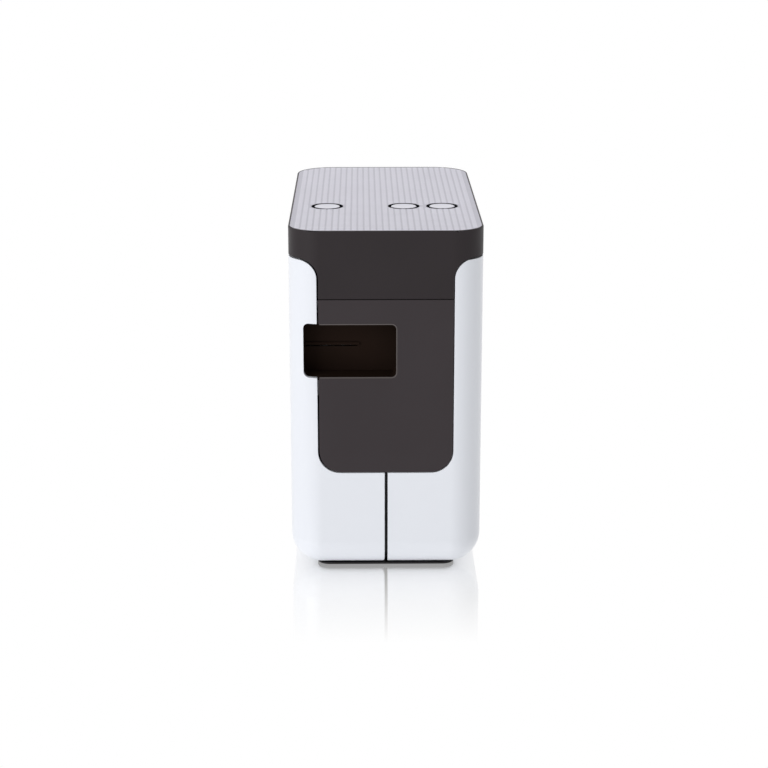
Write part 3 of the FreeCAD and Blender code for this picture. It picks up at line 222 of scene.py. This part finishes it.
def cell_material():
    """A battery cell's wrap: dark, with a copper-coloured band at the end that has the cap."""
    material, tree, shader = moulded("cell", (0.03, 0.035, 0.045), 0.28, 0.05, 2500, 3e-6, 0.5, 0.4)
    along = axes_of(tree, object_coordinates(tree))[1]
    distance = math_node(tree, "ABSOLUTE", along)
    near_middle = math_node(tree, "LESS_THAN", distance, 18*MM)
    mixed_over(tree, shader, (0.62, 0.33, 0.13), near_middle)
    cap = math_node(tree, "LESS_THAN", distance, 6.2*MM)
    mixed_over(tree, shader, (0.6, 0.6, 0.6), cap)
    return material


def wound_material(name, node, light, dark, turn):
    """A wound roll: thin turns, as rings about the reel's own axis."""
    material, tree, shader = moulded(name, light, 0.4, 0.02, 5000, 3e-6)
    low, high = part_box(node)
    _, y, z = axes_of(tree, object_coordinates(tree))
    across = math_node(tree, "SUBTRACT", y, (low.y + high.y)/2)
    upward = math_node(tree, "SUBTRACT", z, (low.z + high.z)/2)
    squares = math_node(tree, "ADD", math_node(tree, "MULTIPLY", across, across),
                        math_node(tree, "MULTIPLY", upward, upward))
    radius = math_node(tree, "SQRT", squares)
    wave = math_node(tree, "SINE", math_node(tree, "MULTIPLY", radius, 2*math.pi/turn))
    tree.links.new(ramp(tree, between(tree, wave, 0.3, 1.0), [(0.25, dark), (0.75, light)]),
                   shader.inputs["Base Color"])
    bump(tree, shader, wave, 2e-5, 0.6)
    return material


def cable_material():
    """A flat cable: a row of thin conductors under a pale film."""
    material, tree, shader = moulded("flat_cable", (0.7, 0.7, 0.67), 0.32, 0.02, 4000, 3e-6)
    x, _, z = axes_of(tree, object_coordinates(tree))
    wave = math_node(tree, "SINE", math_node(tree, "MULTIPLY", math_node(tree, "ADD", x, z), 2*math.pi/MM))
    mixed_over(tree, shader, (0.42, 0.4, 0.36), math_node(tree, "GREATER_THAN", wave, 0.3))
    bump(tree, shader, wave, 2e-5, 0.5)
    return material


MATERIALS = {
    "white_shell": moulded("white_shell", (0.79, 0.812, 0.865), 0.3, 0.003, 5200, 2e-6, 0.42, 0.2, 0.04)[0],
    "charcoal": moulded("charcoal", (0.032, 0.0265, 0.029), 0.44, 0.06, 3800, 8e-6, 0.2)[0],
    "silver_plate": moulded("silver_plate", (0.6, 0.59, 0.66), 0.42, 0.02, 5200, 4e-6, 0.4)[0],
    "black_plastic": moulded("black_plastic", (0.014, 0.0125, 0.013), 0.5, 0.1, 3500, 9e-6, 0.22)[0],
    "grey_plastic": moulded("grey_plastic", (0.13, 0.135, 0.14), 0.5, 0.06, 3500, 8e-6)[0],
    "white_plastic": moulded("white_plastic", (0.7, 0.69, 0.64), 0.38, 0.03, 4200, 4e-6)[0],
    "tape_plastic": moulded("tape_plastic", (0.4, 0.42, 0.45), 0.28, 0.03, 4200, 4e-6)[0],
    "steel": metal("steel", (0.58, 0.58, 0.6), 0.3, (1, 1, 12))[0],
    "aluminium": metal("aluminium", (0.72, 0.72, 0.74), 0.36, (1, 14, 1))[0],
    "brass": metal("brass", (0.76, 0.58, 0.28), 0.28, (10, 1, 1))[0],
    "rubber": moulded("rubber", (0.018, 0.018, 0.018), 0.75, 0.12, 2600, 1.6e-5, 0.3)[0],
    "board": board_material(),
    "paper": moulded("paper", (0.82, 0.82, 0.8), 0.7, 0.02, 6000, 5e-6, 0.3)[0],
    "film": moulded("film", (0.02, 0.02, 0.024), 0.2, 0.1, 2500, 3e-6)[0],
    "cell": cell_material(),
}
SPECIAL = {
    "exit_chute": moulded("chute_black", (0.0165, 0.0095, 0.0068), 0.7, 0.1, 3500, 9e-6, 0.03)[0],
    "top_band": moulded("band_charcoal", (0.0265, 0.0215, 0.0235), 0.46, 0.04, 3800, 6e-6, 0.15)[0],
    "front_panel": moulded("panel_charcoal", (0.0375, 0.0305, 0.0335), 0.44, 0.04, 3800, 6e-6, 0.17)[0],
    "tape_reel": wound_material("wound_tape", "tape_reel", (0.78, 0.78, 0.75), (0.5, 0.5, 0.48), 0.7*MM),
    "film_reel": wound_material("wound_film", "film_reel", (0.05, 0.05, 0.055), (0.02, 0.02, 0.022), 0.5*MM),
    "ribbon_reel": wound_material(
        "wound_ribbon", "ribbon_reel", (0.03, 0.03, 0.04), (0.01, 0.01, 0.012), 0.5*MM),
    "head_cable": cable_material(),
}
button_cap = moulded("button_cap", (0.6, 0.595, 0.67), 0.32, 0.015, 5600, 3e-6, 0.5, 0.3)[0]
# button rings: a real dark collar, made blacker than the black plastic and without specular reflection, as
# painted shade of the well round each button
ring_black_with_painted_shade = moulded("ring_black_with_painted_shade", (0.006, 0.006, 0.008), 0.8, 0.02, 3800, 4e-6, 0.0)[0]
# the exit's bead is a lighter brown-grey than the panel: a painted highlight along the exit's edge
exit_bead_painted_highlight = moulded("exit_bead_painted_highlight", (0.085, 0.072, 0.07), 0.4, 0.02, 3800, 4e-6, 0.4)[0]
# the plate's floor between the pads is darker than the pads' silver: painted shade in the grooves
plate_floor_painted_shade = moulded("plate_floor_painted_shade", (0.46, 0.45, 0.51), 0.5, 0.02, 5200, 4e-6, 0.3)[0]


def material_for(node):
    return SPECIAL.get(node) or MATERIALS[slot_of[node]]


# ---------------------------------------------------------------- pieces

WELD = 0.002*MM
FLAT = math.radians(0.3)
CORNER = math.radians(35)


def piece_from(bm, name, material):
    """An object from a bmesh, shaded smooth with its hard corners kept."""
    mesh = bpy.data.meshes.new(name)
    bm.to_mesh(mesh)
    bm.free()
    mesh.materials.append(material)
    mesh.polygons.foreach_set("use_smooth", [True]*len(mesh.polygons))
    mesh.set_sharp_from_angle(angle=CORNER)
    piece = bpy.data.objects.new(name, mesh)
    bpy.context.scene.collection.objects.link(piece)
    weighted = piece.modifiers.new("weighted_normals", "WEIGHTED_NORMAL")
    weighted.keep_sharp = True
    return piece


def seat(piece, body, slot, *replaced):
    """Says what a piece rides on and the CAD nodes that it stands for. The slot, its finish, is not used."""
    if replaced:
        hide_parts(*replaced)
    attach(piece, body)


def softened(node, width, material=None, reshape=None):
    """A copy of a node whose hard corners are rounded, as a moulding's or a pressing's are."""
    bm = bmesh.new()
    bm.from_mesh(nodes[node].data)
    bmesh.ops.remove_doubles(bm, verts=bm.verts, dist=WELD)
    bmesh.ops.dissolve_limit(bm, angle_limit=FLAT, verts=bm.verts, edges=bm.edges)
    if reshape:
        reshape(bm)
    low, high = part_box(node)
    surface = BVHTree.FromBMesh(bm)
    corners = [e for e in bm.edges if len(e.link_faces) == 2 and e.calc_face_angle(0) > CORNER]
    bmesh.ops.bevel(bm, geom=corners, offset=width, offset_type="OFFSET", segments=2, profile=0.5,
                    affect="EDGES", clamp_overlap=False)
    for vertex in bm.verts:
        nearest, _, _, distance = surface.find_nearest(vertex.co)
        if distance > width:
            vertex.co = nearest
        vertex.co = [min(max(value, least), most) for value, least, most in zip(vertex.co, low, high)]
    bmesh.ops.dissolve_degenerate(bm, dist=WELD/4, edges=bm.edges)
    piece = piece_from(bm, node + "_finished", material or material_for(node))
    seat(piece, body_of[node], slot_of[node], node)
    return piece


def lathe(bm, profile, centre, axis="z", steps=96):
    """Adds a closed turned form to bm. The profile holds (radius, distance along the axis) points."""
    rings = []
    for radius, along in profile:
        if radius == 0:
            rings.append([bm.verts.new(turned_point(centre, axis, 0, 0, along))])
            continue
        angles = [2*math.pi*k/steps for k in range(steps)]
        rings.append([bm.verts.new(turned_point(centre, axis, radius*math.cos(a), radius*math.sin(a), along))
                      for a in angles])
    pairs = list(zip(rings, rings[1:]))
    if profile[0][0] != 0:
        pairs.append((rings[-1], rings[0]))
    for first, second in pairs:
        for k in range(steps):
            after = (k + 1) % steps
            loop = [first[k % len(first)], first[after % len(first)], second[after % len(second)],
                    second[k % len(second)]]
            bm.faces.new(list(dict.fromkeys(loop)))


def turned_point(centre, axis, u, v, along):
    if axis == "x":
        return (centre[0] + along, centre[1] + u, centre[2] + v)
    return (centre[0] + u, centre[1] + v, centre[2] + along)


def middle(node):
    low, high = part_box(node)
    return (low + high)/2


# rounding of the corners, in millimetres, by node: the shells' show, the small pieces' are fine
ROUNDING = {
    0.25: ["door_shell", "main_shell", "front_panel", "rear_panel", "battery_cover", "door_liner"],
    0.2: ["cassette_bay", "cassette_case", "main_frame", "platen_holder", "battery_tray", "heat_sink"],
    0.12: ["top_band"],
    0.15: ["exit_chute", "base_plate", "door_latch", "cutter_frame", "motor_bracket", "usb_port", "dc_jack",
           "feed_motor", "cutter_gearmotor", "button_board", "main_board", "board_components",
           "tact_switches", "batteries", "print_head", "rubber_feet"],
    0.08: ["feed_drive_gear", "pinch_drive_gear", "pinch_gear", "platen_idler", "platen_gear",
           "reduction_gear", "feed_spindle", "ribbon_spindle", "motor_pinion", "cutter_pinion",
           "cutter_blade", "fixed_blade",
           "ribbon_takeup_reel", "cassette_feed_roller", "tape_reel", "film_reel", "ribbon_reel",
           "platen_roller", "pinch_roller", "frame_pins", "hinge_pin", "screws", "battery_contacts"],
}

# the top plate
PAD_PITCH, PAD_FOOT, PAD_TOP, PAD_HEIGHT, PAD_SUNK = 2.53*MM, 1.0*MM, 0.66*MM, 0.11*MM, 0.04*MM
PLATE_MARGIN, RING_RADIUS = 0.75*MM, 6.45*MM
PLATE_FRONT_CORNER, PLATE_BACK_CORNER = 12.3*MM, 15.3*MM


def on_plate(x, y, centre, half, holes):
    """Whether a pad at (x, y) lies on the plate, clear of its rim and of the button rings."""
    across, along = abs(x - centre.x), abs(y - centre.y)
    radius = PLATE_FRONT_CORNER if y < centre.y else PLATE_BACK_CORNER
    beyond = Vector((across - (half.x - radius), along - (half.y - radius)))
    if beyond.x > 0 and beyond.y > 0 and beyond.length > radius - PLATE_MARGIN:
        return False
    if across > half.x - PLATE_MARGIN or along > half.y - PLATE_MARGIN:
        return False
    return all((Vector((x, y)) - hole).length > RING_RADIUS + PLATE_MARGIN for hole in holes)


def make_top_plate():
    """The pale plate in the top, with a square grid of small raised pads all over it, on a floor painted
    darker as shade between the pads.
    """
    low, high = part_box("top_plate")

    def lowered(bm):
        for vertex in bm.verts:
            if vertex.co.z > high.z - WELD:
                vertex.co.z -= PAD_HEIGHT
    # the floor under the pads takes the darker material, painted shade between the pads
    softened("top_plate", 0.06*MM, plate_floor_painted_shade, lowered)

    centre, half = (low + high)/2, (high - low)/2
    holes = [middle(f"{key}_button").xy for key in ("power", "editor", "feed")]
    bm = bmesh.new()
    columns, rows = int(half.x/PAD_PITCH), int(half.y/PAD_PITCH)
    for column in range(-columns, columns + 1):
        for row in range(-rows, rows + 1):
            x, y = centre.x + column*PAD_PITCH, centre.y + row*PAD_PITCH
            if not on_plate(x, y, centre, half, holes):
                continue
            foot, top = [
                [bm.verts.new((x + sx*reach, y + sy*reach, z))
                 for sx, sy in ((-1, -1), (1, -1), (1, 1), (-1, 1))]
                for reach, z in ((PAD_FOOT, high.z - PAD_HEIGHT - PAD_SUNK), (PAD_TOP, high.z - 0.005*MM))]
            bm.faces.new(top)
            bm.faces.new(foot[::-1])
            for k in range(4):
                after = (k + 1) % 4
                bm.faces.new((foot[k], foot[after], top[after], top[k]))
    seat(piece_from(bm, "top_plate_pads", MATERIALS["silver_plate"]), "housing", "silver_plate")


# the exit: how far the chute's walls stand outside it, and the bead, slit and lip
CHUTE_WALL, BEAD_CORNER, BEAD_HALF, BEAD_DEPTH, BEAD_STEPS = 1.6*MM, 2.1*MM, 0.2*MM, 0.6*MM, 8
BEAD_INSIDE, BEAD_LEFT, BEAD_SUNK = 0.1*MM, -26.6*MM, 0.02*MM
LIP_MIDDLE = (-21.9*MM, 94.37*MM)
LIP_SIZE = (22.2*MM, 0.84*MM, 1.0*MM)
LIP_FORWARD = 0.4*MM


def make_exit_rim():
    """A thin bead round the exit, along its top, its right side and its bottom as far as the door's edge; its
    lighter colour is a painted highlight on the edge.
    """
    low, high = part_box("exit_chute")
    right = high.x - CHUTE_WALL - BEAD_INSIDE
    bottom, top = low.z + CHUTE_WALL + BEAD_INSIDE, high.z - CHUTE_WALL - BEAD_INSIDE
    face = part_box("front_panel")[0].y + BEAD_SUNK
    path = [(BEAD_LEFT, top)]
    for cz, start in ((top - BEAD_CORNER, 90), (bottom + BEAD_CORNER, 0)):
        for k in range(BEAD_STEPS + 1):
            angle = math.radians(start - 90*k/BEAD_STEPS)
            path.append((right - BEAD_CORNER + BEAD_CORNER*math.cos(angle), cz + BEAD_CORNER*math.sin(angle)))
    path.append((BEAD_LEFT, bottom))
    section = ((-BEAD_HALF, 0), (BEAD_HALF, 0), (BEAD_HALF, BEAD_DEPTH), (-BEAD_HALF, BEAD_DEPTH))
    bm = bmesh.new()
    loops = []
    for i, (x, z) in enumerate(path):
        before, after = Vector(path[max(i - 1, 0)]), Vector(path[min(i + 1, len(path) - 1)])
        across = (after - before).normalized().orthogonal()
        loops.append([bm.verts.new((x + across.x*u, face + v, z + across.y*u)) for u, v in section])
    for first, second in zip(loops, loops[1:]):
        for k in range(4):
            after = (k + 1) % 4
            bm.faces.new((first[k], first[after], second[after], second[k]))
    bm.faces.new(loops[0])
    bm.faces.new(loops[-1][::-1])
    bmesh.ops.recalc_face_normals(bm, faces=bm.faces)
    seat(piece_from(bm, "exit_rim", exit_bead_painted_highlight), "housing", "charcoal")


def make_exit_lip():
    """A lip over the slit, which hides the mechanism. The label comes out just under it."""
    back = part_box("exit_chute")[1].y - CHUTE_WALL
    lip = bmesh.new()
    bmesh.ops.create_cube(lip, size=1.0)
    for vertex in lip.verts:
        vertex.co = (LIP_MIDDLE[0] + vertex.co.x*LIP_SIZE[0], back - LIP_FORWARD + vertex.co.y*LIP_SIZE[1],
                     LIP_MIDDLE[1] + vertex.co.z*LIP_SIZE[2])
    seat(piece_from(lip, "exit_lip", SPECIAL["exit_chute"]), "housing", "black_plastic")


def make_button(key):
    """A round push button with a slightly dished face and a rounded rim, on its flange and stem."""
    node = f"{key}_button"
    low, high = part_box(node)
    centre = (low + high)/2
    flange = (high.x - low.x)/2
    cap = flange - 0.9*MM
    dish, rim = 0.35*MM, 0.45*MM
    bm = bmesh.new()
    top = high.z
    bowl = [(cap - rim)*k/6 for k in range(7)]
    profile = [(r, top - dish*(1 - (r/(cap - rim))**2)) for r in bowl]
    profile += [(cap - rim + rim*math.sin(a), top - rim + rim*math.cos(a))
                for a in (math.radians(d) for d in (22.5, 45, 67.5, 90))]
    profile += [(cap, top - 3.4*MM), (flange, top - 3.4*MM), (flange, top - 4.6*MM), (1.6*MM, top - 4.6*MM),
                (1.6*MM, low.z), (0, low.z)]
    lathe(bm, profile, (centre.x, centre.y, 0))
    bmesh.ops.recalc_face_normals(bm, faces=bm.faces)
    seat(piece_from(bm, f"{node}_finished", button_cap), body_of[node], slot_of[node], node)

    # the ring's colour and its lap onto the plate are partly a real dark collar, partly painted shade of the
    # well round the cap
    ring = bmesh.new()
    inside, outside, shade_lap = cap + 0.06*MM, RING_RADIUS - 0.05*MM, 0.25*MM
    lathe(ring, [(inside, high.z - 0.9*MM), (inside, high.z - 0.2*MM), (inside + 0.15*MM, high.z),
                 (outside + shade_lap - 0.05*MM, high.z), (outside + shade_lap, high.z - 0.08*MM),
                 (outside, high.z - 0.12*MM), (outside, high.z - 0.9*MM)], (centre.x, centre.y, 0))
    bmesh.ops.recalc_face_normals(ring, faces=ring.faces)
    seat(piece_from(ring, f"{key}_ring", ring_black_with_painted_shade), "housing", "charcoal")


def rounded_sheet(bm, x, low, high, thickness, corner, steps=8):
    """Adds a thin round-cornered plate that lies across X. low and high are (y, z) corners."""
    outline = []
    corners = ((high[0], high[1], 0), (low[0], high[1], 90), (low[0], low[1], 180), (high[0], low[1], 270))
    for cy, cz, start in corners:
        inner_y = cy - corner if start in (0, 270) else cy + corner
        inner_z = cz - corner if start in (0, 90) else cz + corner
        outline += [(inner_y + corner*math.cos(math.radians(start + 90*k/steps)),
                     inner_z + corner*math.sin(math.radians(start + 90*k/steps))) for k in range(steps + 1)]
    front = [bm.verts.new((x - thickness, y, z)) for y, z in outline]
    back = [bm.verts.new((x, y, z)) for y, z in outline]
    bm.faces.new(front)
    bm.faces.new(back[::-1])
    for k in range(len(outline)):
        after = (k + 1) % len(outline)
        bm.faces.new((front[k], back[k], back[after], front[after]))


def make_cassette_details():
    """What shows on the cassette with the door open: moulded rings, a roll window and a blank sticker."""
    softened("cassette_lid", 0.3*MM)
    low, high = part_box("cassette_lid")
    face = low.x + 0.02*MM
    rings = bmesh.new()
    for node in ("tape_reel", "film_reel", "ribbon_reel"):
        spot = middle(node)
        reel_low, reel_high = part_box(node)
        radius = (reel_high.y - reel_low.y)/2
        for reach in (radius, 0.45*radius):
            lathe(rings, [(reach - 0.5*MM, 0), (reach - 0.35*MM, -0.4*MM), (reach + 0.35*MM, -0.4*MM),
                          (reach + 0.5*MM, 0)], (face, spot.y, spot.z), "x")
    bmesh.ops.recalc_face_normals(rings, faces=rings.faces)
    seat(piece_from(rings, "cassette_rings", MATERIALS["tape_plastic"]), "housing", "tape_plastic")

    window = bmesh.new()
    spot = middle("tape_reel")
    lathe(window, [(10.5*MM, 0), (10.5*MM, -0.15*MM), (20.5*MM, -0.15*MM), (20.5*MM, 0)],
          (face, spot.y, spot.z), "x")
    bmesh.ops.recalc_face_normals(window, faces=window.faces)
    seat(piece_from(window, "cassette_window", SPECIAL["tape_reel"]), "housing", "paper")

    sticker = bmesh.new()
    rounded_sheet(sticker, face, (low.y + 27*MM, high.z - 19*MM), (high.y - 26*MM, high.z - 6*MM),
                  0.14*MM, 1.5*MM)
    bmesh.ops.recalc_face_normals(sticker, faces=sticker.faces)
    seat(piece_from(sticker, "cassette_sticker", MATERIALS["paper"]), "housing", "paper")


for node, obj in nodes.items():
    obj.data.materials.clear()
    obj.data.materials.append(material_for(node))
for millimetres, members in ROUNDING.items():
    for node in members:
        softened(node, millimetres*MM)
make_top_plate()
make_exit_rim()
make_exit_lip()
for key in ("power", "editor", "feed"):
    make_button(key)
make_cassette_details()


# ---------------------------------------------------------------- stage, light and camera

MIRROR_SHARE, MIRROR_FADE, FOOT_ROUND = 0.72, 0.085, 12.5*MM


def make_floor():
    """A white floor that mirrors the object's foot. The mirroring fades out a short way from the object."""
    reach = 6.0
    corners = [(-reach, -reach, 0), (reach, -reach, 0), (reach, reach, 0), (-reach, reach, 0)]
    mesh = bpy.data.meshes.new("floor")
    mesh.from_pydata(corners, [], [(0, 1, 2, 3)])
    floor = bpy.data.objects.new("floor", mesh)
    bpy.context.scene.collection.objects.link(floor)
    material = bpy.data.materials.new("floor_paint")
    material.use_nodes = True
    tree = material.node_tree
    tree.nodes.clear()
    half_width, half_depth, _ = cad_box[1]
    foot = (half_width - FOOT_ROUND, half_depth - FOOT_ROUND)
    x, y, _ = axes_of(tree, object_coordinates(tree))
    outside = []
    for coordinate, half in zip((x, y), foot):
        beyond = math_node(tree, "SUBTRACT", math_node(tree, "ABSOLUTE", coordinate), half)
        outside.append(math_node(tree, "MAXIMUM", beyond, 0.0))
    squares = math_node(tree, "ADD", math_node(tree, "MULTIPLY", outside[0], outside[0]),
                        math_node(tree, "MULTIPLY", outside[1], outside[1]))
    share = tree.nodes.new("ShaderNodeMapRange")
    share.inputs["From Max"].default_value = MIRROR_FADE
    share.inputs["To Min"].default_value = MIRROR_SHARE
    share.inputs["To Max"].default_value = 0.0
    tree.links.new(math_node(tree, "SQRT", squares), share.inputs["Value"])
    glow = tree.nodes.new("ShaderNodeEmission")
    mirror = tree.nodes.new("ShaderNodeBsdfGlossy")
    mirror.inputs["Color"].default_value = (1, 1, 1, 1)
    mirror.inputs["Roughness"].default_value = 0.02
    mix = tree.nodes.new("ShaderNodeMixShader")
    output = tree.nodes.new("ShaderNodeOutputMaterial")
    tree.links.new(share.outputs["Result"], mix.inputs[0])
    tree.links.new(glow.outputs[0], mix.inputs[1])
    tree.links.new(mirror.outputs[0], mix.inputs[2])
    tree.links.new(mix.outputs[0], output.inputs["Surface"])
    mesh.materials.append(material)


def area_light(name, place, target, width, height, power):
    data = bpy.data.lights.new(name, "AREA")
    data.shape = "RECTANGLE"
    data.size, data.size_y = width, height
    data.energy = power
    lamp = bpy.data.objects.new(name, data)
    lamp.location = place
    lamp.rotation_euler = (Vector(target) - Vector(place)).to_track_quat("-Z", "Y").to_euler()
    bpy.context.scene.collection.objects.link(lamp)


def make_lights():
    """A white room that lights softly and shows at full white in reflections, and two soft boxes."""
    world = bpy.data.worlds.new("studio")
    bpy.context.scene.world = world
    world.use_nodes = True
    tree = world.node_tree
    background = tree.nodes["Background"]
    background.inputs["Color"].default_value = (1, 1, 1, 1)
    path = tree.nodes.new("ShaderNodeLightPath")
    tree.links.new(between(tree, path.outputs["Is Diffuse Ray"], 1.0, 0.35), background.inputs["Strength"])
    area_light("left_box", (-0.8, -0.85, 0.45), (0, 0, 0.07), 0.8, 0.8, 7.0)
    area_light("top_box", (0.0, 0.3, 1.0), (0, 0, 0.1), 0.8, 0.8, 5.2)


def make_camera():
    data = bpy.data.cameras.new("camera")
    data.sensor_width = 36.0
    data.lens = 1930/768*36.0
    data.clip_start = 0.01
    camera = bpy.data.objects.new("camera", data)
    pitch, yaw = math.radians(15.86), math.radians(0.7)
    forward = Vector((math.sin(yaw)*math.cos(pitch), math.cos(yaw)*math.cos(pitch), -math.sin(pitch)))
    camera.location = (-0.010, -0.820, 0.292)
    camera.rotation_euler = forward.to_track_quat("-Z", "Y").to_euler()
    bpy.context.scene.collection.objects.link(camera)
    bpy.context.scene.camera = camera


make_floor()
make_lights()
make_camera()
bpy.context.scene.view_settings.view_transform = "Standard"
